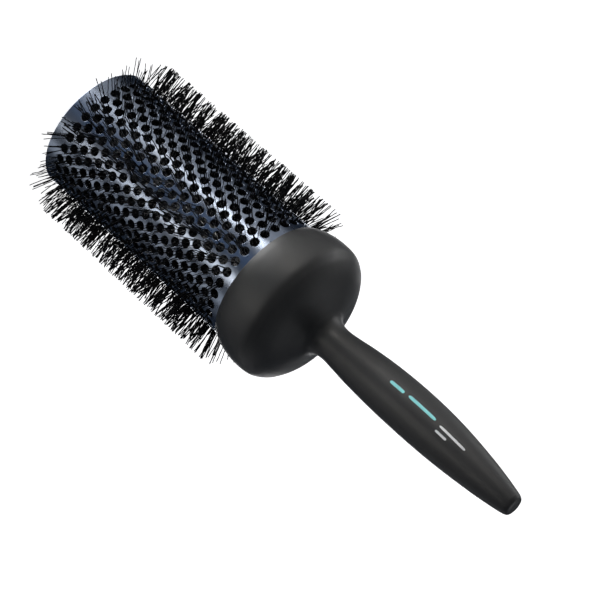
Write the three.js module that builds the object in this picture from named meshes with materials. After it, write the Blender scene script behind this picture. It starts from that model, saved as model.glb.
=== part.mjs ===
// Round barrel brush for blow-drying hair: a perforated metal barrel with nylon bristles all round it,
// on a waisted soft-touch handle. Millimetres, +Z up. The brush stands on the free end of its barrel,
// with its axis on Z and the handle pointing up. The origin is the centre of that free end.
import * as THREE from "three";
import { mergeVertices } from "three/addons/utils/BufferGeometryUtils.js";

// ---- driving dimensions ----
const GAP = 0.3; // kept between pieces that touch
const ROUND_STEPS = 28; // facets round the handle's skin
const INNER_STEPS = 24; // facets round the moulded pieces inside
const SMALL_STEPS = 16; // facets round the sleeves

const BARREL_RADIUS = 32; // outside
const BARREL_WALL = 1;
const BARREL_END = 130; // the last millimetres sit in the handle's groove

const HOLE_CORNER = 2.3; // the punched holes are three-sided, with corners this far from the middle

const ROW_COUNT = 22;
const TUFTS_PER_ROW = 33;
const FIRST_ROW = 9.5; // height of the first row of tufts
const ROW_PITCH = 5.076;
const TUFT_RADIUS = 45.5; // trimmed radius of the bristle tips
const TUFT_ROOT_RADIUS = 7.5; // where neighbouring tufts part, near the stem
const TUFT_THICKNESS = 0.8;
const TUFT_STEP = (2 * Math.PI) / TUFTS_PER_ROW;
const ROW_HOLE_RADIUS = 3.5;
const ROW_HOLE_SIDES = 6;

const CAP_DEPTH = 7.5; // skirt of the moulded cap in the barrel's free end
const CAP_FACE = 2.4; // thickness of its face
const CAP_SKIRT = 2; // thickness of its skirt
const CAP_DISH_RADIUS = 23; // shallow dish in the face, inside the ring the brush stands on
const CAP_DISH_DEPTH = 1;
const HUB_RADIUS = 6.2;

const WIRE_RADIUS = 1.2;
const WIRE_ORBIT = 1.4; // radius of the helix that each wire's centre follows
const WIRE_PITCH = 14;
const WIRE_STEPS_PER_TURN = 6;
const WIRE_SEGMENTS = 3; // divisions of each wire's round section
const STEM_START = 3.4;
const STEM_END = 148.6;
const SLEEVE_INNER = 2.9;
const SLEEVE_OUTER = 3.9;

const TIP_SLEEVE_END = 8.6;
const TAIL_SLEEVE_START = 126;

const CARRIER_START = 118.4; // moulded disc that centres the stem where it leaves the barrel
const CARRIER_PLATE = 3;
const CARRIER_DEPTH = 5.2; // with its hub

const COLLAR_START = 121.5; // front lip of the handle's collar
const SKIN = 1.6; // thickness of the soft-touch skin
const CORE_WALL = 2.6;
const CORE_MARGIN = 1; // kept between the core's hollow and its groove, boss and bore
const GROOVE_LIP = 127.5; // where the core's outer lip begins outside the barrel
const SPIGOT_START = 121.7;
const SPIGOT_INNER = 27.6;
const BOSS_RADIUS = 7.2;
const BOSS_START = 124;
const SOCKET_END = 149.2; // bottom of the core's bore for the stem

const CORE_END = 271;
const HANDLE_END = 276.2; // the skin closes over the tip

// Outer outline of collar, dome, neck and grip, as radius and height. A smooth curve runs through it.
const OUTLINE = [
  [33.0, COLLAR_START],
  [34.9, 126.0],
  [36.1, 132.0],
  [36.3, 137.5],
  [35.9, 141.5],
  [34.6, 144.3],
  [32.3, 147.1],
  [27.1, 150.7],
  [18.0, 154.4],
  [11.6, 157.2],
  [9.3, 160.4],
  [8.6, 165.0],
  [9.1, 171.3],
  [10.2, 181.0],
  [11.2, 195.0],
  [11.6, 211.0],
  [11.3, 227.0],
  [10.3, 241.5],
  [8.6, 256.5],
  [7.0, 266.8],
  [5.8, 272.9],
  [5.3, 274.6],
  [4.6, 275.7],
  [3.4, HANDLE_END],
];
const OUTLINE_SPANS = OUTLINE.length - 1;

// The grip's centre line bows a little towards -X and comes back to the axis near the tip.
const BOW = 0.9;
const BOW_START = 168;
const BOW_END = 268;
const BOW_EASE = 6; // length over which the bow begins

// ---- materials ----
const metal = (color, roughness) =>
  new THREE.MeshStandardMaterial({ color, roughness, metalness: 1 });
const plastic = (color, roughness) =>
  new THREE.MeshStandardMaterial({ color, roughness, metalness: 0 });
const BARREL_METAL = metal(0x8f95a6, 0.28);
const STEEL = metal(0x9a9a98, 0.35);
const SLEEVE_METAL = metal(0xb5b5b2, 0.4);
const NYLON = plastic(0x141414, 0.45);
const HARD_PLASTIC = plastic(0x1c1d1f, 0.5);
const SOFT_TOUCH = plastic(0x3a3a3b, 0.75);

// ---- helpers ----
const object = new THREE.Group();

function add(name, geometry, material) {
  const mesh = new THREE.Mesh(geometry, material);
  mesh.name = name;
  object.add(mesh);
}

// A closed ring or solid turned round Z from [radius, height] corners, listed anticlockwise.
function turned(corners, steps = INNER_STEPS) {
  const profile = corners.map(([radius, height]) => new THREE.Vector2(radius, height));
  profile.push(profile[0].clone());
  return new THREE.LatheGeometry(profile, steps).rotateX(Math.PI / 2);
}

// A flat outline raised along Z from height bottom.
function raised(shape, bottom, thickness) {
  const options = { depth: thickness, bevelEnabled: false };
  return new THREE.ExtrudeGeometry(shape, options).translate(0, 0, bottom);
}

// The handle's outline, moved inwards by depth, as [radius, height] points that rise from low to high.
function outlineInside(depth, low, high) {
  const curve = new THREE.SplineCurve(OUTLINE.map(([r, z]) => new THREE.Vector2(r, z)));
  const points = [];
  for (let i = 0; i <= OUTLINE_SPANS; i++) {
    const point = curve.getPoint(i / OUTLINE_SPANS);
    const along = curve.getTangent(i / OUTLINE_SPANS);
    points.push([point.x - depth * along.y, point.y + depth * along.x]);
  }
  return points.filter(([, height]) => height > low && height < high);
}

// ---- barrel ----
// The wall is drawn flat, as [across, height] points, and rolled up. A chain of points runs once round it.
function straightChain(height) {
  const points = [];
  for (let i = 0; i < 2 * TUFTS_PER_ROW; i++) points.push([(i / 2) * TUFT_STEP * BARREL_RADIUS, height]);
  return points;
}

// Corners of a row's holes: left and right below, and one above between them.
function holeChain(row, withTop) {
  const half = (HOLE_CORNER * Math.sqrt(3)) / 2;
  const middle = FIRST_ROW + row * ROW_PITCH;
  const points = [];
  for (let i = 0; i < TUFTS_PER_ROW; i++) {
    const across = (i + (row % 2) / 2) * TUFT_STEP * BARREL_RADIUS;
    points.push([across - half, middle - HOLE_CORNER / 2]);
    if (withTop) points.push([across, middle + HOLE_CORNER]);
    points.push([across + half, middle - HOLE_CORNER / 2]);
  }
  return points;
}

// Triangles that fill the band between two chains, always by the shorter way across that isn't folded.
function fillBand(lower, upper) {
  const round = 2 * Math.PI * BARREL_RADIUS;
  const at = (chain, i) => {
    const turns = Math.floor(i / chain.length);
    const [across, height] = chain[i - turns * chain.length];
    return [across + turns * round, height];
  };
  const area = (a, b, c) => (b[0] - a[0]) * (c[1] - a[1]) - (c[0] - a[0]) * (b[1] - a[1]);
  const far = (a, b) => Math.hypot(a[0] - b[0], a[1] - b[1]);
  let start = 0;
  for (let i = -upper.length; i < upper.length; i++)
    if (far(at(upper, i), lower[0]) < far(at(upper, start), lower[0])) start = i;
  const triangles = [];
  let [low, high] = [0, start];
  while (low < lower.length || high < start + upper.length) {
    const [a, b] = [at(lower, low), at(upper, high)];
    const [nextLow, nextHigh] = [at(lower, low + 1), at(upper, high + 1)];
    const canLow = low < lower.length && area(a, nextLow, b) > 0;
    const canHigh = high < start + upper.length && area(a, nextHigh, b) > 0;
    if (!canLow && !canHigh) throw new Error("the band's chains cross");
    if (canLow && (!canHigh || far(nextLow, b) < far(nextHigh, a))) {
      triangles.push([a, nextLow, b]);
      low += 1;
    } else {
      triangles.push([a, nextHigh, b]);
      high += 1;
    }
  }
  return triangles;
}

function makeBarrel() {
  const inner = BARREL_RADIUS - BARREL_WALL;
  const positions = [];
  const roll = ([across, height], radius) => {
    const angle = across / BARREL_RADIUS - Math.PI / 2;
    positions.push(radius * Math.cos(angle), radius * Math.sin(angle), height);
  };
  const bothWalls = ([a, b, c]) => {
    for (const point of [a, b, c]) roll(point, BARREL_RADIUS);
    for (const point of [a, c, b]) roll(point, inner);
  };
  // A wall through the thickness, under the chain's step from a to b, facing away from the material.
  const edge = (a, b) => {
    for (const [point, radius] of [
      [a, BARREL_RADIUS],
      [b, inner],
      [b, BARREL_RADIUS],
      [a, BARREL_RADIUS],
      [a, inner],
      [b, inner],
    ])
      roll(point, radius);
  };
  const [bottom, top] = [straightChain(0), straightChain(BARREL_END)];
  for (let row = 0; row <= ROW_COUNT; row++) {
    const lower = row === 0 ? bottom : holeChain(row - 1, true);
    const upper = row === ROW_COUNT ? top : holeChain(row, false);
    fillBand(lower, upper).forEach(bothWalls);
  }
  for (let row = 0; row < ROW_COUNT; row++) {
    const corners = holeChain(row, true);
    for (let i = 0; i < corners.length; i += 3) {
      const [left, above, right] = corners.slice(i, i + 3);
      edge(left, above);
      edge(above, right);
      edge(right, left);
    }
  }
  for (let i = 0; i < bottom.length; i++) {
    const next = (i + 1) % bottom.length;
    edge(bottom[i], bottom[next]);
    edge(top[next], top[i]);
  }
  const geometry = new THREE.BufferGeometry();
  geometry.setAttribute("position", new THREE.Float32BufferAttribute(positions, 3));
  add("barrel", mergeVertices(geometry, 1e-3), BARREL_METAL);
}

// ---- bristles: one flat star of tufts for each row, from the stem out through the barrel's holes ----
function tuftStar(turn) {
  const star = new THREE.Shape();
  const at = (radius, angle) => [radius * Math.cos(angle), radius * Math.sin(angle)];
  for (let i = 0; i < TUFTS_PER_ROW; i++) {
    const angle = turn + i * TUFT_STEP;
    if (i === 0) star.moveTo(...at(TUFT_RADIUS, angle));
    else star.lineTo(...at(TUFT_RADIUS, angle));
    star.lineTo(...at(TUFT_ROOT_RADIUS, angle + TUFT_STEP / 2));
  }
  star.closePath();
  const hole = new THREE.Path();
  for (let i = 0; i < ROW_HOLE_SIDES; i++) {
    const corner = at(ROW_HOLE_RADIUS, (-2 * Math.PI * i) / ROW_HOLE_SIDES);
    if (i === 0) hole.moveTo(...corner);
    else hole.lineTo(...corner);
  }
  hole.closePath();
  star.holes.push(hole);
  return star;
}

function makeBristles() {
  for (let row = 0; row < ROW_COUNT; row++) {
    const turn = -Math.PI / 2 + ((row % 2) * TUFT_STEP) / 2;
    const bottom = FIRST_ROW + row * ROW_PITCH - TUFT_THICKNESS / 2;
    const name = `bristle_row_${String(row + 1).padStart(2, "0")}`;
    add(name, raised(tuftStar(turn), bottom, TUFT_THICKNESS), NYLON);
  }
}

// ---- closed cap in the barrel's free end, with a hub for the stem ----
function makeFrontCap() {
  const rim = BARREL_RADIUS - BARREL_WALL - GAP;
  const profile = [
    [0, CAP_DISH_DEPTH],
    [CAP_DISH_RADIUS, CAP_DISH_DEPTH],
    [CAP_DISH_RADIUS + CAP_DISH_DEPTH, 0],
    [rim, 0],
    [rim, CAP_DEPTH],
    [rim - CAP_SKIRT, CAP_DEPTH],
    [rim - CAP_SKIRT, CAP_FACE],
    [HUB_RADIUS, CAP_FACE],
    [HUB_RADIUS, CAP_DEPTH],
    [SLEEVE_OUTER + GAP, CAP_DEPTH],
    [SLEEVE_OUTER + GAP, CAP_FACE],
    [0, CAP_FACE],
  ];
  add("front_cap", turned(profile), HARD_PLASTIC);
}

// ---- stem: two steel wires twisted round each other, which grip the bristles ----
class Helix extends THREE.Curve {
  constructor(start, end, phase) {
    super();
    this.start = start;
    this.length = end - start;
    this.phase = phase;
  }
  getPoint(t, target = new THREE.Vector3()) {
    const rise = this.length * t;
    const angle = this.phase + (2 * Math.PI * rise) / WIRE_PITCH;
    const [x, y] = [WIRE_ORBIT * Math.cos(angle), WIRE_ORBIT * Math.sin(angle)];
    return target.set(x, y, this.start + rise);
  }
}

function makeStem() {
  const section = new THREE.Shape();
  section.absarc(0, 0, WIRE_RADIUS, 0, 2 * Math.PI, false);
  const turns = (STEM_END - STEM_START) / WIRE_PITCH;
  const steps = Math.round(turns * WIRE_STEPS_PER_TURN);
  for (const [name, phase] of [
    ["stem_wire_a", 0],
    ["stem_wire_b", Math.PI],
  ]) {
    const extrudePath = new Helix(STEM_START, STEM_END, phase);
    const options = { steps, extrudePath, curveSegments: WIRE_SEGMENTS, bevelEnabled: false };
    add(name, new THREE.ExtrudeGeometry(section, options), STEEL);
  }
  for (const [name, start, end] of [
    ["tip_sleeve", CAP_FACE + GAP, TIP_SLEEVE_END],
    ["tail_sleeve", TAIL_SLEEVE_START, STEM_END],
  ]) {
    const wall = [
      [SLEEVE_INNER, start],
      [SLEEVE_OUTER, start],
      [SLEEVE_OUTER, end],
      [SLEEVE_INNER, end],
    ];
    add(name, turned(wall, SMALL_STEPS), SLEEVE_METAL);
  }
}

// ---- disc that centres the stem at the handle's end of the barrel ----
function makeCarrier() {
  const rim = BARREL_RADIUS - BARREL_WALL - GAP;
  const back = CARRIER_START + CARRIER_PLATE;
  const profile = [
    [SLEEVE_INNER, CARRIER_START],
    [rim, CARRIER_START],
    [rim, back],
    [HUB_RADIUS, back],
    [HUB_RADIUS, CARRIER_START + CARRIER_DEPTH],
    [SLEEVE_INNER, CARRIER_START + CARRIER_DEPTH],
  ];
  add("stem_carrier", turned(profile), HARD_PLASTIC);
}

// ---- handle: a hard core, and the soft-touch skin moulded over it ----
function bowed(geometry) {
  const place = geometry.attributes.position;
  for (let i = 0; i < place.count; i++) {
    const rise = Math.max(place.getZ(i) - BOW_START, 0);
    const shift = BOW * Math.sin((Math.PI * rise) / (BOW_END - BOW_START));
    place.setX(i, place.getX(i) - shift * (1 - Math.exp(-rise / BOW_EASE)));
  }
  return geometry;
}

function makeHandleCore() {
  const spigot = BARREL_RADIUS - BARREL_WALL - GAP;
  const lip = BARREL_RADIUS + GAP;
  const grooveFloor = BARREL_END + GAP;
  const hollowFront = grooveFloor + CORE_MARGIN;
  const outside = outlineInside(SKIN + GAP, GROOVE_LIP, CORE_END);
  const hollow = outlineInside(SKIN + GAP + CORE_WALL, hollowFront, SOCKET_END - CORE_MARGIN);
  const hollowBack = hollow.filter(([radius]) => radius > BOSS_RADIUS + CORE_MARGIN);
  const profile = [
    [SLEEVE_OUTER + GAP, BOSS_START],
    [BOSS_RADIUS, BOSS_START],
    [BOSS_RADIUS, hollowBack.at(-1)[1]],
    ...hollowBack.reverse(),
    [SPIGOT_INNER, hollowFront],
    [SPIGOT_INNER, SPIGOT_START],
    [spigot, SPIGOT_START],
    [spigot, grooveFloor],
    [lip, grooveFloor],
    [lip, GROOVE_LIP],
    [outside[0][0], GROOVE_LIP],
    ...outside,
    [outside.at(-1)[0], CORE_END],
    [0, CORE_END],
    [0, SOCKET_END],
    [SLEEVE_OUTER + GAP, SOCKET_END],
  ];
  add("handle_core", bowed(turned(profile)), HARD_PLASTIC);
}

function makeHandleSkin() {
  const lip = BARREL_RADIUS + GAP;
  const outside = outlineInside(0, -Infinity, Infinity);
  const inside = outlineInside(SKIN, GROOVE_LIP - GAP, CORE_END + GAP).reverse();
  const profile = [
    ...outside,
    [0, HANDLE_END],
    [0, CORE_END + GAP],
    [inside[0][0], CORE_END + GAP],
    ...inside,
    [inside.at(-1)[0], GROOVE_LIP - GAP],
    [lip, GROOVE_LIP - GAP],
    [lip, COLLAR_START],
  ];
  add("handle_skin", bowed(turned(profile, ROUND_STEPS)), SOFT_TOUCH);
}

makeBarrel();
makeBristles();
makeFrontCap();
makeStem();
makeCarrier();
makeHandleCore();
makeHandleSkin();

export default object;
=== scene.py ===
"""Round barrel brush: a perforated metal barrel, nylon bristles and a soft-touch handle.

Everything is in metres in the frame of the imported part. The brush stands on the free end of its barrel.
"""

import math

import bmesh
import bpy
import numpy as np
from mathutils import Matrix, Vector


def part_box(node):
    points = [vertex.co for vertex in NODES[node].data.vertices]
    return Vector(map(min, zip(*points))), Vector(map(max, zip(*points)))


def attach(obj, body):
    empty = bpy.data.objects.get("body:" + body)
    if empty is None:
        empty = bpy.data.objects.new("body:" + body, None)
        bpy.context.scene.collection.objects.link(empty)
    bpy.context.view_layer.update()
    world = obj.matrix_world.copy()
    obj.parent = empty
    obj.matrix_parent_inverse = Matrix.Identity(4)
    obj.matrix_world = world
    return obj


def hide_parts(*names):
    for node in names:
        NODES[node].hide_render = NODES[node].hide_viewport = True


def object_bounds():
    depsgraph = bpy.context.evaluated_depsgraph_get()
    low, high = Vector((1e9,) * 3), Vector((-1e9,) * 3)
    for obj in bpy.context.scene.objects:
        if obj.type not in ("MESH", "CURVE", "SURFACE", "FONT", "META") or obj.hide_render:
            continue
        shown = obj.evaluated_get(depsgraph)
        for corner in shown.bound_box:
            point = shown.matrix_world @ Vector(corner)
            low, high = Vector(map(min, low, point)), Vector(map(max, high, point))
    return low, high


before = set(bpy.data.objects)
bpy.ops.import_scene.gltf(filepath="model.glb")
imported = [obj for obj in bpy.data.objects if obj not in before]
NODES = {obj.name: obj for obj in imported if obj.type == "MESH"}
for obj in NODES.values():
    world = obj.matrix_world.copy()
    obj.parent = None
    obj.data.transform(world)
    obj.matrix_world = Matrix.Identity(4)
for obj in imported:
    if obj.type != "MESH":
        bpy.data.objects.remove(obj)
cad_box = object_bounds()

MM = 0.001
BODY = "root"

# ---- sizes ----
LOW, HIGH = cad_box
BARREL_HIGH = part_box("barrel")[1]
CAP_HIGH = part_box("front_cap")[1]
BARREL_RADIUS = BARREL_HIGH.y
BARREL_WALL = 1.0 * MM
BARREL_END = BARREL_HIGH.z
TIP_RADIUS = HIGH.y  # trimmed radius of the bristles

ROW_NODES = sorted(name for name in NODES if name.startswith("bristle_row_"))
ROW_HEIGHTS = [sum(corner.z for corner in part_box(name)) / 2 for name in ROW_NODES]
ROW_PITCH = (ROW_HEIGHTS[-1] - ROW_HEIGHTS[0]) / (len(ROW_HEIGHTS) - 1)
TUFTS_PER_ROW = 33
TUFT_STEP = 2 * math.pi / TUFTS_PER_ROW
HOLE_RADIUS = 2.25 * MM
HOLE_EDGE = 0.16 * MM  # rounded edge of each punched hole

CORE_START = 127.2 * MM  # where the hard core starts inside the skin
CORE_END = 271.3 * MM  # where it stops
SKIN = 1.6 * MM  # thickness of the soft-touch skin

# Outer outline of collar, dome, neck and grip, as radius and height in millimetres.
OUTLINE = [
    (33.0, 121.5), (34.9, 126.0), (36.1, 132.0), (36.3, 137.5), (35.9, 141.5), (34.6, 144.3),
    (32.3, 147.1), (27.1, 150.7), (18.0, 154.4), (11.6, 157.2), (9.3, 160.4), (8.6, 165.0),
    (9.1, 171.3), (10.2, 181.0), (11.2, 195.0), (11.6, 211.0), (11.3, 227.0), (10.3, 241.5),
    (8.6, 256.5), (7.0, 266.8), (5.8, 272.9), (5.3, 274.6), (4.6, 275.7), (3.4, 276.2),
]

# The grip's centre line bows a little towards -X and comes back to the axis near the tip.
BOW, BOW_START, BOW_END, BOW_EASE = 0.9 * MM, 168 * MM, 268 * MM, 6 * MM


# ---- camera ----
CAMERA_PLACE = (0.02305, -0.93633, 0.5688)
CAMERA_AZIMUTH, CAMERA_ELEVATION, CAMERA_ROLL = (math.radians(a) for a in (1.67, 24.74, 131.98))
CAMERA_LENS, CAMERA_SENSOR = 138.0, 36.0


def make_camera():
    data = bpy.data.cameras.new("camera")
    data.lens, data.sensor_width = CAMERA_LENS, CAMERA_SENSOR
    data.clip_start, data.clip_end = 0.05, 20
    camera = bpy.data.objects.new("camera", data)
    bpy.context.scene.collection.objects.link(camera)
    flat = math.cos(CAMERA_ELEVATION)
    sine, cosine = math.sin(CAMERA_AZIMUTH), math.cos(CAMERA_AZIMUTH)
    back = Vector((sine * flat, -cosine * flat, math.sin(CAMERA_ELEVATION)))
    level = (-back).to_track_quat("-Z", "Y").to_matrix().to_4x4()
    roll = Matrix.Rotation(CAMERA_ROLL, 4, "Z")
    camera.matrix_world = Matrix.Translation(CAMERA_PLACE) @ level @ roll
    bpy.context.scene.camera = camera


make_camera()


# ---- node helpers ----
NOISE_ROUGHNESS = 0.55
NOISE_SPAN = (0.3, 0.7)  # nearly all of a noise lies between these


class Shader:
    """A material's node tree, with a Principled shader and short ways to add what feeds it."""

    def __init__(self, name, values=()):
        self.material = bpy.data.materials.new(name)
        self.material.use_nodes = True
        self.tree = self.material.node_tree
        self.main = self.tree.nodes["Principled BSDF"]
        self.coordinates = self.tree.nodes.new("ShaderNodeTexCoord").outputs["Object"]
        for key, value in dict(values).items():
            self.main.inputs[key].default_value = value

    def link(self, source, node, socket):
        self.tree.links.new(source, node.inputs[socket])

    def stretched(self, scale):
        node = self.tree.nodes.new("ShaderNodeMapping")
        node.inputs["Scale"].default_value = scale
        self.link(self.coordinates, node, "Vector")
        return node.outputs["Vector"]

    def noise(self, scale, detail, stretch=(1, 1, 1)):
        node = self.tree.nodes.new("ShaderNodeTexNoise")
        node.inputs["Scale"].default_value = scale
        node.inputs["Detail"].default_value = detail
        node.inputs["Roughness"].default_value = NOISE_ROUGHNESS
        self.link(self.stretched(stretch), node, "Vector")
        return node.outputs["Fac"]

    def ramp(self, source, stops):
        node = self.tree.nodes.new("ShaderNodeValToRGB")
        ramp = node.color_ramp
        while len(ramp.elements) < len(stops):
            ramp.elements.new(0.5)
        for element, (place, colour) in zip(ramp.elements, stops):
            element.position = place
            element.color = (*colour, 1)
        self.link(source, node, "Fac")
        return node.outputs["Color"]

    def span(self, source, low, high):
        """The noise spread from low to high."""
        node = self.tree.nodes.new("ShaderNodeMapRange")
        node.inputs["From Min"].default_value, node.inputs["From Max"].default_value = NOISE_SPAN
        node.inputs["To Min"].default_value, node.inputs["To Max"].default_value = low, high
        self.link(source, node, "Value")
        return node.outputs["Result"]

    def bump(self, source, distance, strength, below=None):
        node = self.tree.nodes.new("ShaderNodeBump")
        node.inputs["Distance"].default_value = distance
        node.inputs["Strength"].default_value = strength
        self.link(source, node, "Height")
        if below is not None:
            self.link(below, node, "Normal")
        return node.outputs["Normal"]

    def colour(self, source):
        self.link(source, self.main, "Base Color")

    def rough(self, source):
        self.link(source, self.main, "Roughness")

    def normal(self, source):
        self.link(source, self.main, "Normal")


# ---- materials ----
def barrel_metal():
    s = Shader("barrel_metal", {"Metallic": 1.0})
    tones = [
        (0.3, (0.17, 0.2, 0.26)),
        (0.52, (0.195, 0.225, 0.28)),
        (0.75, (0.22, 0.245, 0.295)),
    ]
    s.colour(s.ramp(s.noise(38, 4), tones))
    s.rough(s.span(s.noise(120, 5), 0.25, 0.3))
    s.normal(s.bump(s.noise(45, 1, stretch=(1, 1, 0.4)), 0.0001, 0.03))
    return s.material


# Painted shade: a near-black colour on the inside of the tube and on the walls of its holes, where the
# metal lies in shade, so the holes look black.
def barrel_inside_painted_shade():
    s = Shader("barrel_inside_painted_shade", {"Metallic": 0.6})
    s.colour(s.ramp(s.noise(220, 4), [(0.3, (0.006, 0.006, 0.008)), (0.7, (0.016, 0.016, 0.02))]))
    s.rough(s.span(s.noise(300, 4), 0.5, 0.75))
    return s.material


def bristle_nylon():
    s = Shader("bristle_nylon", {"IOR": 1.45, "Specular IOR Level": 0.04})
    s.colour(s.ramp(s.noise(400, 3), [(0.3, (0.002, 0.002, 0.0023)), (0.7, (0.006, 0.0058, 0.0058))]))
    s.rough(s.span(s.noise(900, 2), 0.35, 0.5))
    s.normal(s.bump(s.noise(3000, 2), 0.00002, 0.5))
    return s.material


def soft_touch():
    s = Shader("soft_touch", {"IOR": 1.5})
    s.colour(s.ramp(s.noise(60, 5), [(0.3, (0.0265, 0.0262, 0.0257)), (0.7, (0.032, 0.0316, 0.031))]))
    s.rough(s.span(s.noise(150, 5), 0.49, 0.55))
    grain = s.bump(s.noise(5200, 3), 0.00002, 0.3)
    s.normal(s.bump(s.noise(260, 3), 0.00003, 0.2, below=grain))
    return s.material


def hard_plastic():
    s = Shader("hard_plastic", {"IOR": 1.5})
    s.colour(s.ramp(s.noise(90, 4), [(0.3, (0.018, 0.018, 0.02)), (0.7, (0.03, 0.03, 0.032))]))
    s.rough(s.span(s.noise(240, 4), 0.36, 0.5))
    s.normal(s.bump(s.noise(4200, 3), 0.00002, 0.3))
    return s.material


def stem_steel():
    s = Shader("stem_steel", {"Metallic": 1.0})
    s.colour(s.ramp(s.noise(300, 4), [(0.3, (0.42, 0.42, 0.41)), (0.7, (0.62, 0.62, 0.6))]))
    s.rough(s.span(s.noise(500, 4), 0.28, 0.5))
    s.normal(s.bump(s.noise(1600, 3), 0.00003, 0.4))
    return s.material


def sleeve_metal():
    s = Shader("sleeve_metal", {"Metallic": 1.0})
    s.colour(s.ramp(s.noise(200, 4), [(0.3, (0.55, 0.55, 0.54)), (0.7, (0.72, 0.72, 0.7))]))
    s.rough(s.span(s.noise(400, 4), 0.35, 0.55))
    return s.material


def ink(name, dark, light):
    s = Shader(name)
    s.colour(s.ramp(s.noise(700, 4), [(0.3, dark), (0.7, light)]))
    s.rough(s.span(s.noise(900, 3), 0.4, 0.6))
    return s.material


METAL = barrel_metal()
INSIDE_PAINTED_SHADE = barrel_inside_painted_shade()
NYLON = bristle_nylon()
SOFT = soft_touch()
HARD = hard_plastic()
STEEL = stem_steel()
SLEEVE = sleeve_metal()
TEAL_INK = ink("teal_ink", (0.26, 0.8, 0.82), (0.32, 0.88, 0.9))
WHITE_INK = ink("white_ink", (0.85, 0.86, 0.87), (0.93, 0.94, 0.95))


# ---- mesh helpers ----
JOIN_TURNED, JOIN_BARREL = 1e-7, 1e-6  # points of a mesh nearer than this are made one
NO_LENGTH = 1e-8


def new_piece(name, mesh, slot, *replaced):
    piece = bpy.data.objects.new(name, mesh)
    bpy.context.scene.collection.objects.link(piece)
    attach(piece, BODY)
    if replaced:
        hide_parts(*replaced)
    return piece


def finished(mesh, crease=35):
    """The mesh with smooth faces, and sharp edges where it turns by more than crease degrees."""
    mesh.shade_smooth()
    mesh.set_sharp_from_angle(angle=math.radians(crease))
    return mesh


def turned(name, profile, steps, material):
    """A closed body turned round Z from [radius, height] points, listed anticlockwise."""
    profile = np.array(profile, float)
    angles = np.arange(steps) * 2 * math.pi / steps
    ring = np.stack([np.cos(angles), np.sin(angles)], 1)
    count = len(profile)
    points = np.empty((steps, count, 3))
    points[:, :, :2] = ring[:, None, :] * profile[None, :, :1]
    points[:, :, 2] = profile[:, 1]
    index = np.arange(steps * count).reshape(steps, count)
    faces = []
    for i in range(count):
        j = (i + 1) % count
        for a in range(steps):
            b = (a + 1) % steps
            faces.append((index[a, i], index[b, i], index[b, j], index[a, j]))
    mesh = bpy.data.meshes.new(name)
    mesh.from_pydata(points.reshape(-1, 3).tolist(), [], [tuple(map(int, f)) for f in faces])
    mesh.materials.append(material)
    work = bmesh.new()
    work.from_mesh(mesh)
    bmesh.ops.remove_doubles(work, verts=work.verts, dist=JOIN_TURNED)
    bmesh.ops.dissolve_degenerate(work, edges=work.edges, dist=NO_LENGTH)
    work.to_mesh(mesh)
    work.free()
    return finished(mesh)


def spline(points, per_span):
    """Points on a smooth curve through the given ones, with a number of steps for each span."""
    points = np.array(points, float)
    padded = np.vstack([points[:1], points, points[-1:]])
    out = []
    for i in range(len(points) - 1):
        p0, p1, p2, p3 = padded[i : i + 4]
        for t in np.arange(per_span) / per_span:
            v0, v1 = (p2 - p0) / 2, (p3 - p1) / 2
            cubic, square = 2 * p1 - 2 * p2 + v0 + v1, -3 * p1 + 3 * p2 - 2 * v0 - v1
            out.append(cubic * t**3 + square * t**2 + v0 * t + p1)
    return np.array([*out, points[-1]])


def bowed(mesh):
    """The mesh with the grip's slight sideways bow."""
    for vertex in mesh.vertices:
        rise = max(vertex.co.z - BOW_START, 0)
        shift = BOW * math.sin(math.pi * rise / (BOW_END - BOW_START))
        vertex.co.x -= shift * (1 - math.exp(-rise / BOW_EASE))
    return mesh


def moved_in(curve, depth):
    """The curve, moved inwards by depth."""
    along = np.gradient(curve, axis=0)
    along /= np.linalg.norm(along, axis=1)[:, None]
    return curve + depth * np.stack([-along[:, 1], along[:, 0]], 1)


# ---- barrel ----
EDGE_STEPS = 6  # steps along each side of a hole's cell
BARREL_CREASE = 50
BARREL_LIP = 0.3 * MM  # rounded edge at each end of the tube
EASE = 0.3  # a rounded edge's middle point, as a share of its size
PLAIN_MARGIN = 0.2 * MM  # at each end, the mesh keeps its own normals
# Hole-wall bands from FIRST_INSIDE_BAND on get the painted shade material.
FIRST_INSIDE_BAND = 3  # bands between a hole's loops from here on lie inside the wall


def cell_edge(width, height):
    """Points round a rectangle, anticlockwise from the lower right corner."""
    t = np.arange(EDGE_STEPS) / EDGE_STEPS
    w, h = width / 2, height / 2
    right = np.stack([np.full(EDGE_STEPS, w), -h + height * t], 1)
    top = np.stack([w - width * t, np.full(EDGE_STEPS, h)], 1)
    return np.vstack([right, top, -right, -top])


def round_normals(mesh, outer, inner):
    """Normals of a true cylinder where the tube is plain, and the mesh's own (zero) elsewhere."""
    points = np.array([vertex.co for vertex in mesh.vertices])
    radius = np.hypot(points[:, 0], points[:, 1])
    normals = np.zeros_like(points)
    height = points[:, 2]
    between = (height > PLAIN_MARGIN) & (height < BARREL_END - PLAIN_MARGIN)
    for wall, sign in ((outer, 1), (inner, -1)):
        plain = (abs(radius - wall) < JOIN_BARREL) & between
        normals[plain, :2] = sign * points[plain, :2] / wall
    return normals.tolist()


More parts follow.
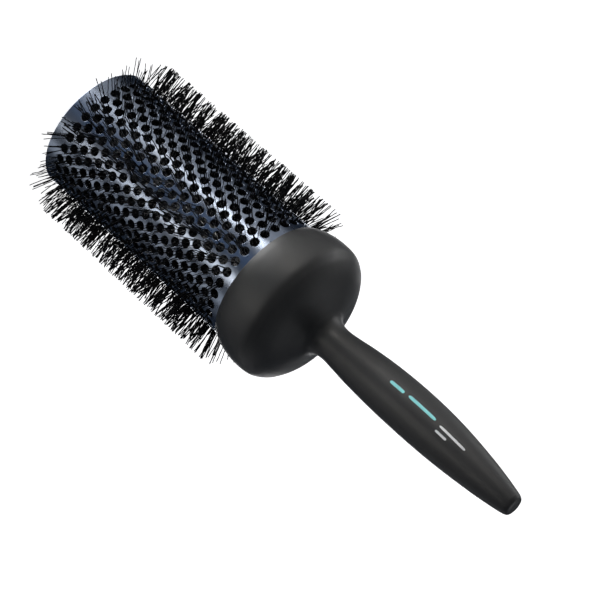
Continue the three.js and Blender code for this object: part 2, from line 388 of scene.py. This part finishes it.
def make_barrel():
    outer, inner = BARREL_RADIUS, BARREL_RADIUS - BARREL_WALL
    rim = cell_edge(TUFT_STEP * outer, ROW_PITCH)
    way = rim / np.linalg.norm(rim, axis=1)[:, None]
    sides = len(rim)
    loops = [
        (rim, outer),
        (way * (HOLE_RADIUS + HOLE_EDGE), outer),
        (way * (HOLE_RADIUS + HOLE_EDGE * EASE), outer - HOLE_EDGE * EASE),
        (way * HOLE_RADIUS, outer - HOLE_EDGE),
        (way * HOLE_RADIUS, inner + HOLE_EDGE),
        (way * (HOLE_RADIUS + HOLE_EDGE), inner),
        (rim, inner),
    ]
    points, faces, slots = [], [], []
    for row, height in enumerate(ROW_HEIGHTS):
        for tuft in range(TUFTS_PER_ROW):
            middle = -math.pi / 2 + (tuft + (row % 2) / 2) * TUFT_STEP
            base = len(points)
            for flat, radius in loops:
                angle = middle + flat[:, 0] / outer
                across = [radius * np.cos(angle), radius * np.sin(angle)]
                points.extend(np.stack([*across, height + flat[:, 1]], 1).tolist())
            for k in range(len(loops) - 1):
                for i in range(sides):
                    j = (i + 1) % sides
                    a, b = base + k * sides, base + (k + 1) * sides
                    faces.append((a + i, a + j, b + j, b + i))
                    slots.append(1 if k >= FIRST_INSIDE_BAND else 0)
    steps = TUFTS_PER_ROW * EDGE_STEPS
    angles = -math.pi / 2 + (np.arange(steps) - EDGE_STEPS / 2) * TUFT_STEP / EDGE_STEPS
    lowest, highest = ROW_HEIGHTS[0] - ROW_PITCH / 2, ROW_HEIGHTS[-1] + ROW_PITCH / 2
    lip = BARREL_LIP
    free_end = [
        (inner, lowest), (inner, lip), (inner + lip, 0), (outer - lip, 0),
        (outer - lip * EASE, lip * EASE), (outer, lip), (outer, lowest * 0.5), (outer, lowest),
    ]
    handle_end = [
        (outer, highest), (outer, BARREL_END - lip), (outer - lip, BARREL_END),
        (inner + lip, BARREL_END), (inner, BARREL_END - lip), (inner, highest),
    ]
    for profile in (free_end, handle_end):
        base = len(points)
        for radius, height in profile:
            across = [radius * np.cos(angles), radius * np.sin(angles)]
            points.extend(np.stack([*across, np.full(steps, height)], 1).tolist())
        for k in range(len(profile) - 1):
            # Faces on the tube's inner wall get the painted shade material.
            dark = max(profile[k][0], profile[k + 1][0]) <= inner + 1e-9
            for i in range(steps):
                j = (i + 1) % steps
                a, b = base + k * steps, base + (k + 1) * steps
                faces.append((a + i, a + j, b + j, b + i))
                slots.append(1 if dark else 0)
    mesh = bpy.data.meshes.new("barrel_perforated")
    mesh.from_pydata(points, [], faces)
    mesh.materials.append(METAL)
    mesh.materials.append(INSIDE_PAINTED_SHADE)
    mesh.polygons.foreach_set("material_index", slots)
    work = bmesh.new()
    work.from_mesh(mesh)
    bmesh.ops.remove_doubles(work, verts=work.verts, dist=JOIN_BARREL)
    bmesh.ops.recalc_face_normals(work, faces=work.faces)
    work.to_mesh(mesh)
    work.free()
    finished(mesh, BARREL_CREASE)
    mesh.normals_split_custom_set_from_vertices(round_normals(mesh, outer, inner))
    new_piece("barrel_perforated", mesh, "barrel_metal", "barrel")


# ---- bristles ----
FILAMENT_RADIUS = 0.24 * MM
FILAMENT_SIDES = 4
TUFT_CREASE = 100
CRIMP_LENGTH = 3.6 * MM
CRIMP_DEPTH = 0.07 * MM
ROOT_RADIUS = 3.2 * MM
STEPS_OUTSIDE = 14
FOLDED_ENDS = 7  # for each tuft, as many more filaments stop just inside the barrel
FOLD_RADIUS = 0.42 * MM
FOLD_START = 20 * MM
FOLD_SPREAD = 2.3 * MM
FOLD_DEPTH = (1.6, 4.6)  # how far inside the barrel's wall they stop, in millimetres
TUFT_SEED = 20
TUFT_FILAMENTS = (3, 6)  # fewest, and one more than most
TUFT_LEAN, FILAMENT_LEAN, HOLE_LEAN, MOST_LEAN = 0.12, 0.07, 0.06, 0.5
FILAMENT_BEND = 1.5
SHORT_SHARE, SHORT_BY = 0.05, 3.5  # a few filaments are cut shorter, by up to this many millimetres
TRIM_SPREAD = 0.3 * MM
INSIDE_RADII = [ROOT_RADIUS, 17 * MM, 27 * MM]
HOLE_DEPTH = 1.2 * MM  # a filament's close steps begin this far below the barrel's surface
CRIMP_EASE = 2 * MM  # over which the crimp begins outside the barrel
LOWEST_FILAMENT = 0.4 * MM
NARROWEST = 9 * MM  # nearer the stem, filaments spread no further round it
END_LEAN = {0: -0.04, 20: 0.08, 21: 0.14}  # how far the rows at each end lean along the barrel


def folded_end(rng, middle, height):
    """Centre points of a filament's folded end, which stays inside the barrel behind its hole."""
    reach = FOLD_SPREAD * np.sqrt(rng.random(2))
    where = rng.uniform(0, 2 * math.pi, 2)
    short = rng.uniform(*FOLD_DEPTH) * MM
    radii = np.array([FOLD_START, BARREL_RADIUS - BARREL_WALL - short])
    level = height + reach * np.sin(where)
    tilt = middle + reach * np.cos(where) / radii
    return np.stack([radii * np.cos(tilt), radii * np.sin(tilt), level], 1)


def filament(rng, middle, height, tuft_lean):
    """Centre points of one filament from the stem, through its hole, to its trimmed tip."""
    reach = (HOLE_RADIUS - 1.6 * FILAMENT_RADIUS) * math.sqrt(rng.random())
    where = rng.uniform(0, 2 * math.pi)
    offset = np.array([reach * math.cos(where), reach * math.sin(where)])
    lean = tuft_lean + rng.normal(0, FILAMENT_LEAN, 2) + HOLE_LEAN * offset / HOLE_RADIUS
    lean = np.clip(lean, -MOST_LEAN, MOST_LEAN)
    bend = rng.normal(0, FILAMENT_BEND, 2)
    short = rng.uniform(0, SHORT_BY) * MM if rng.random() < SHORT_SHARE else 0
    tip = TIP_RADIUS - abs(rng.normal(0, TRIM_SPREAD)) - short
    outside = np.linspace(BARREL_RADIUS - HOLE_DEPTH, tip, STEPS_OUTSIDE)
    radii = np.concatenate([INSIDE_RADII, outside])
    share = np.clip((radii - ROOT_RADIUS) / (BARREL_RADIUS - ROOT_RADIUS), 0, 1)
    past = np.clip(radii - BARREL_RADIUS, 0, None)
    flat = share[:, None] * offset + past[:, None] * lean + (past**2)[:, None] * bend
    phase, turn = rng.uniform(0, 2 * math.pi, 2)
    wave = CRIMP_DEPTH * np.sin(2 * math.pi * radii / CRIMP_LENGTH + phase)
    wave *= np.clip((radii - BARREL_RADIUS) / CRIMP_EASE, 0, 1)
    flat = flat + wave[:, None] * np.array([math.cos(turn), math.sin(turn)])
    level = np.maximum(height + flat[:, 1], LOWEST_FILAMENT)
    tilt = middle + flat[:, 0] / np.maximum(radii, NARROWEST)
    return np.stack([radii * np.cos(tilt), radii * np.sin(tilt), level], 1)


def tube(points, radius):
    """Points of the rings round a filament's centre points."""
    along = np.gradient(points, axis=0)
    along /= np.linalg.norm(along, axis=1)[:, None]
    side = np.cross(along, [0.0, 0.0, 1.0])
    side /= np.linalg.norm(side, axis=1)[:, None]
    other = np.cross(along, side)
    angles = np.arange(FILAMENT_SIDES) * 2 * math.pi / FILAMENT_SIDES
    cosine, sine = np.cos(angles)[None, :, None], np.sin(angles)[None, :, None]
    ring = cosine * side[:, None, :] + sine * other[:, None, :]
    return (points[:, None, :] + radius * ring).reshape(-1, 3)


def tube_faces(count):
    """Faces of a filament with count rings, and its two flat ends."""
    sides = FILAMENT_SIDES
    faces = [tuple(range(sides))]
    for k in range(count - 1):
        for i in range(sides):
            j = (i + 1) % sides
            faces.append((k * sides + i, (k + 1) * sides + i, (k + 1) * sides + j, k * sides + j))
    last = (count - 1) * sides
    faces.append(tuple(last + i for i in reversed(range(sides))))
    return faces


def make_bristles():
    rng = np.random.default_rng(TUFT_SEED)
    for row, (node, height) in enumerate(zip(ROW_NODES, ROW_HEIGHTS)):
        points, faces = [], []
        for tuft in range(TUFTS_PER_ROW):
            middle = -math.pi / 2 + (tuft + (row % 2) / 2) * TUFT_STEP
            tuft_lean = rng.normal(0, TUFT_LEAN, 2) + np.array([0, END_LEAN.get(row, 0)])
            count = rng.integers(*TUFT_FILAMENTS)
            lines = [(filament(rng, middle, height, tuft_lean), FILAMENT_RADIUS) for _ in range(count)]
            lines += [(folded_end(rng, middle, height), FOLD_RADIUS) for _ in range(FOLDED_ENDS)]
            for line, radius in lines:
                base = len(points)
                points.extend(tube(line, radius).tolist())
                faces.extend(tuple(base + i for i in face) for face in tube_faces(len(line)))
        name = f"tufts_{row + 1:02d}"
        mesh = bpy.data.meshes.new(name)
        mesh.from_pydata(points, [], faces)
        mesh.materials.append(NYLON)
        tufts = new_piece(name, finished(mesh, TUFT_CREASE), "bristle_nylon", node)
        tufts.visible_glossy = False  # else they break up the streaks of light on the barrel


# ---- cap in the barrel's free end ----
CAP_STEPS = 144
CAP_SKIRT, CAP_FACE = 2 * MM, 2.4 * MM  # thickness of its skirt and of its face
CAP_HUB, CAP_BORE = 6.2 * MM, 4.2 * MM  # radii round the stem
CAP_DISH = 1.0 * MM  # depth of the dish in the face
CAP_EDGE = 0.4 * MM  # rounded edges
DISH_FLOOR, DISH_RIM = 23.0 * MM, 23.8 * MM  # radii of the slope at the dish's edge
DISH_ROUND, DISH_DROP = 0.4 * MM, 0.12 * MM  # rounding at both ends of that slope


def make_cap():
    rim, depth, face = CAP_HIGH.y, CAP_HIGH.z, CAP_FACE
    skirt, hub, edge = rim - CAP_SKIRT, CAP_HUB, CAP_EDGE
    profile = [
        (0, CAP_DISH), (DISH_FLOOR - DISH_ROUND, CAP_DISH), (DISH_FLOOR, CAP_DISH - DISH_DROP),
        (DISH_RIM, DISH_DROP), (DISH_RIM + DISH_ROUND, 0),
        (rim - edge, 0), (rim - edge * EASE, edge * EASE), (rim, edge),
        (rim, depth - edge), (rim - edge, depth),
        (skirt + edge, depth), (skirt, depth - edge), (skirt, face),
        (hub, face), (hub, depth - edge), (hub - edge, depth),
        (CAP_BORE, depth), (CAP_BORE, face), (0, face),
    ]
    mesh = turned("cap_moulded", profile, CAP_STEPS, HARD)
    new_piece("cap_moulded", mesh, "hard_plastic", "front_cap")


# ---- handle ----
MARK_LIFT, MARK_THICKNESS = 0.02 * MM, 0.06 * MM
MARK_STEPS, MARK_ACROSS = 28, 6
MARK_SQUARENESS = 12  # how late a dash starts to narrow towards its ends
MARK_LEAST = 0.01 * MM  # half its width at the very ends
MARK_CREASE = 40
HANDLE_STEPS, OUTLINE_STEPS = 160, 10
LIP_GAP = 0.25 * MM  # between the lip's inside and the barrel
TIP_RINGS = (0.8, 0.5, 0.2)  # rings on the flat end of the tip, as shares of its radius
# Plain dashes: material, azimuth in degrees, low and high end and width in millimetres.
MARKS = [
    ("grip_mark_teal_long", TEAL_INK, -19, 211.0, 227.5, 1.5),
    ("grip_mark_teal_short", TEAL_INK, -17, 200.0, 208.5, 1.5),
    ("grip_mark_white_long", WHITE_INK, -16, 230.5, 246.0, 1.1),
    ("grip_mark_white_short", WHITE_INK, -2, 230.5, 237.0, 1.1),
]


def make_handle():
    curve = spline(OUTLINE, OUTLINE_STEPS) * MM
    inside = moved_in(curve, SKIN)
    lip_radius = BARREL_RADIUS + LIP_GAP
    inside = inside[(inside[:, 1] > CORE_START) & (inside[:, 1] < CORE_END)]
    start, end = curve[0], curve[-1]
    lip = [
        (lip_radius, start[1] + LIP_GAP),
        (lip_radius + 0.12 * MM, start[1] + 0.05 * MM),
        (start[0] - 0.3 * MM, start[1]),
        (start[0] - 0.08 * MM, start[1] + 0.08 * MM),
    ]
    face = [(end[0] * share, end[1]) for share in TIP_RINGS]
    tip = [*face, (0, end[1]), (0, CORE_END), (inside[-1][0], CORE_END)]
    seat = [(inside[0][0], CORE_START), (lip_radius, CORE_START)]
    profile = [*lip, *curve[1:].tolist(), *tip, *inside[::-1].tolist(), *seat]
    mesh = bowed(turned("handle_soft_skin", profile, HANDLE_STEPS, SOFT))
    new_piece("handle_soft_skin", mesh, "soft_touch", "handle_skin")


def make_mark(name, material, azimuth, low, high, width):
    """A thin printed dash that follows the grip, drawn along it at an azimuth, with rounded ends."""
    curve = spline(OUTLINE, OUTLINE_STEPS) * MM
    middle, half = (low + high) / 2, (high - low) / 2
    points, faces = [], []
    for lift in (MARK_LIFT, MARK_LIFT + MARK_THICKNESS):
        for i in range(MARK_STEPS + 1):
            along = -math.cos(math.pi * i / MARK_STEPS)
            z = middle + half * along
            reach = width / 2 * (1 - abs(along) ** MARK_SQUARENESS) ** 0.5 + MARK_LEAST
            radius = np.interp(z, curve[:, 1], curve[:, 0]) + lift
            for k in range(MARK_ACROSS + 1):
                a = math.radians(azimuth) + (2 * k / MARK_ACROSS - 1) * reach / radius
                points.append((radius * math.sin(a), -radius * math.cos(a), z))
    row, layer = MARK_ACROSS + 1, (MARK_ACROSS + 1) * (MARK_STEPS + 1)
    for i in range(MARK_STEPS):
        for k in range(MARK_ACROSS):
            a = i * row + k
            faces.append((a, a + row, a + row + 1, a + 1))
            faces.append((a + layer, a + layer + 1, a + layer + row + 1, a + layer + row))
    border = list(range(row))
    border += [i * row + row - 1 for i in range(1, MARK_STEPS + 1)]
    border += [MARK_STEPS * row + k for k in reversed(range(row - 1))]
    border += [i * row for i in range(MARK_STEPS - 1, 0, -1)]
    for i, a in enumerate(border):
        b = border[(i + 1) % len(border)]
        faces.append((a, b, b + layer, a + layer))
    mesh = bpy.data.meshes.new(name)
    mesh.from_pydata(points, [], faces)
    mesh.materials.append(material)
    piece = bpy.data.objects.new(name, bowed(finished(mesh, MARK_CREASE)))
    bpy.context.scene.collection.objects.link(piece)
    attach(piece, BODY)


# ---- stage and light ----
STAGE_SIZE = 6.0
STAGE_CORNERS = [(-STAGE_SIZE, -STAGE_SIZE), (STAGE_SIZE, -STAGE_SIZE)]
STAGE_CORNERS += [(STAGE_SIZE, STAGE_SIZE), (-STAGE_SIZE, STAGE_SIZE)]
FLOOR_LEVEL = LOW.z - 0.2 * MM


def make_floor():
    """Pale floor and backdrop, left out of reflections, shadows and diffuse light."""
    mesh = bpy.data.meshes.new("floor")
    mesh.from_pydata([(x, y, 0) for x, y in STAGE_CORNERS], [], [(0, 1, 2, 3)])
    floor = bpy.data.objects.new("floor", mesh)
    bpy.context.scene.collection.objects.link(floor)
    floor.location.z = FLOOR_LEVEL
    glow = {"Roughness": 0.9, "Emission Color": (1, 1, 1, 1), "Emission Strength": 1.0}
    s = Shader("floor_pale", glow)
    s.colour(s.ramp(s.noise(2, 3), [(0.3, (0.86, 0.86, 0.86)), (0.7, (0.88, 0.88, 0.88))]))
    mesh.materials.append(s.material)
    backdrop = make_backdrop(s.material)
    for item in (floor, backdrop):
        item.visible_glossy = False
        item.visible_shadow = False
        item.visible_diffuse = False


def make_backdrop(material):
    """Pale walls and ceiling that carry the floor's tone up behind the brush."""
    points = [(x, y, z) for z in (FLOOR_LEVEL, STAGE_SIZE) for x, y in STAGE_CORNERS]
    faces = [(i, (i + 1) % 4, (i + 1) % 4 + 4, i + 4) for i in range(4)]
    mesh = bpy.data.meshes.new("backdrop")
    mesh.from_pydata(points, [], faces + [(4, 5, 6, 7)])
    mesh.materials.append(material)
    backdrop = bpy.data.objects.new("backdrop", mesh)
    bpy.context.scene.collection.objects.link(backdrop)
    return backdrop


def direction(azimuth, elevation):
    a, e = math.radians(azimuth), math.radians(elevation)
    return Vector((math.sin(a) * math.cos(e), -math.cos(a) * math.cos(e), math.sin(e)))


def area_light(name, azimuth, elevation, distance, width, height, power, colour=(1, 1, 1)):
    """A softbox facing the middle of the brush, seen from there at that azimuth and elevation."""
    data = bpy.data.lights.new(name, "AREA")
    data.shape, data.size, data.size_y = "RECTANGLE", width, height
    data.energy, data.color = power, colour
    light = bpy.data.objects.new(name, data)
    middle = (LOW + HIGH) / 2
    way = direction(azimuth, elevation)
    light.location = middle + way * distance
    light.rotation_euler = (-way).to_track_quat("-Z", "Y").to_euler()
    bpy.context.scene.collection.objects.link(light)


WARM, COOL = (1.0, 0.965, 0.91), (0.4, 0.62, 1.0)
WORLD_STRENGTH = 0.045


def make_light():
    world = bpy.data.worlds.new("studio")
    bpy.context.scene.world = world
    world.use_nodes = True
    background = world.node_tree.nodes["Background"]
    background.inputs["Color"].default_value = (*COOL, 1)
    background.inputs["Strength"].default_value = WORLD_STRENGTH
    area_light("strip_bright", -40, -16, 1.2, 0.2, 0.7, 4.7, WARM)
    area_light("strip_soft", 34, -17, 1.2, 0.2, 0.7, 3.0, WARM)
    area_light("strip_right", -62, -15, 1.2, 0.2, 1.0, 0.7)
    area_light("strip_side", -110, 8, 1.3, 0.4, 0.8, 4.4)
    area_light("low_right", -28, -50, 1.2, 0.4, 0.5, 1.2)
    area_light("low_left", 40, -52, 1.2, 0.4, 0.5, 0.5)
    area_light("low_side_left", 75, -30, 1.2, 0.3, 0.6, 0.7)
    area_light("low_side_right", -80, -25, 1.2, 0.3, 0.8, 0.6)
    area_light("under", -60, -70, 1.2, 0.5, 0.5, 14)
    area_light("front_fill", -5, -25, 1.2, 0.5, 0.6, 0.33, COOL)
    area_light("key", -88, 6, 1.3, 0.5, 0.8, 0.5)
    area_light("left", 100, -12, 1.4, 0.4, 1.0, 0.3)
    area_light("back_left", 125, 5, 1.4, 0.4, 1.0, 1.0)
    area_light("back_right", -125, 20, 1.3, 0.5, 0.8, 0.6)
    area_light("back_top", 180, 60, 1.4, 0.7, 0.7, 2.3)
    area_light("high_right", -125, 62, 1.4, 0.5, 0.5, 0.8)
    area_light("high_left", 90, 70, 1.4, 0.5, 0.5, 0.4)
    area_light("back_strip", 165, -23, 1.2, 0.12, 1.2, 3.0)
    area_light("back_strip_soft", -160, -23, 1.2, 0.2, 1.2, 2.5)
    bpy.context.scene.view_settings.view_transform = "Standard"


def finish_cad_nodes():
    """Better materials on the CAD pieces that stay."""
    looks = {
        "stem_carrier": HARD, "handle_core": HARD,
        "stem_wire_a": STEEL, "stem_wire_b": STEEL, "tip_sleeve": SLEEVE, "tail_sleeve": SLEEVE,
    }
    for name, material in looks.items():
        mesh = NODES[name].data
        mesh.materials.clear()
        mesh.materials.append(material)


make_barrel()
make_bristles()
make_cap()
make_handle()
for name, material, azimuth, low, high, width in MARKS:
    make_mark(name, material, azimuth, low * MM, high * MM, width * MM)
finish_cad_nodes()
make_floor()
make_light()
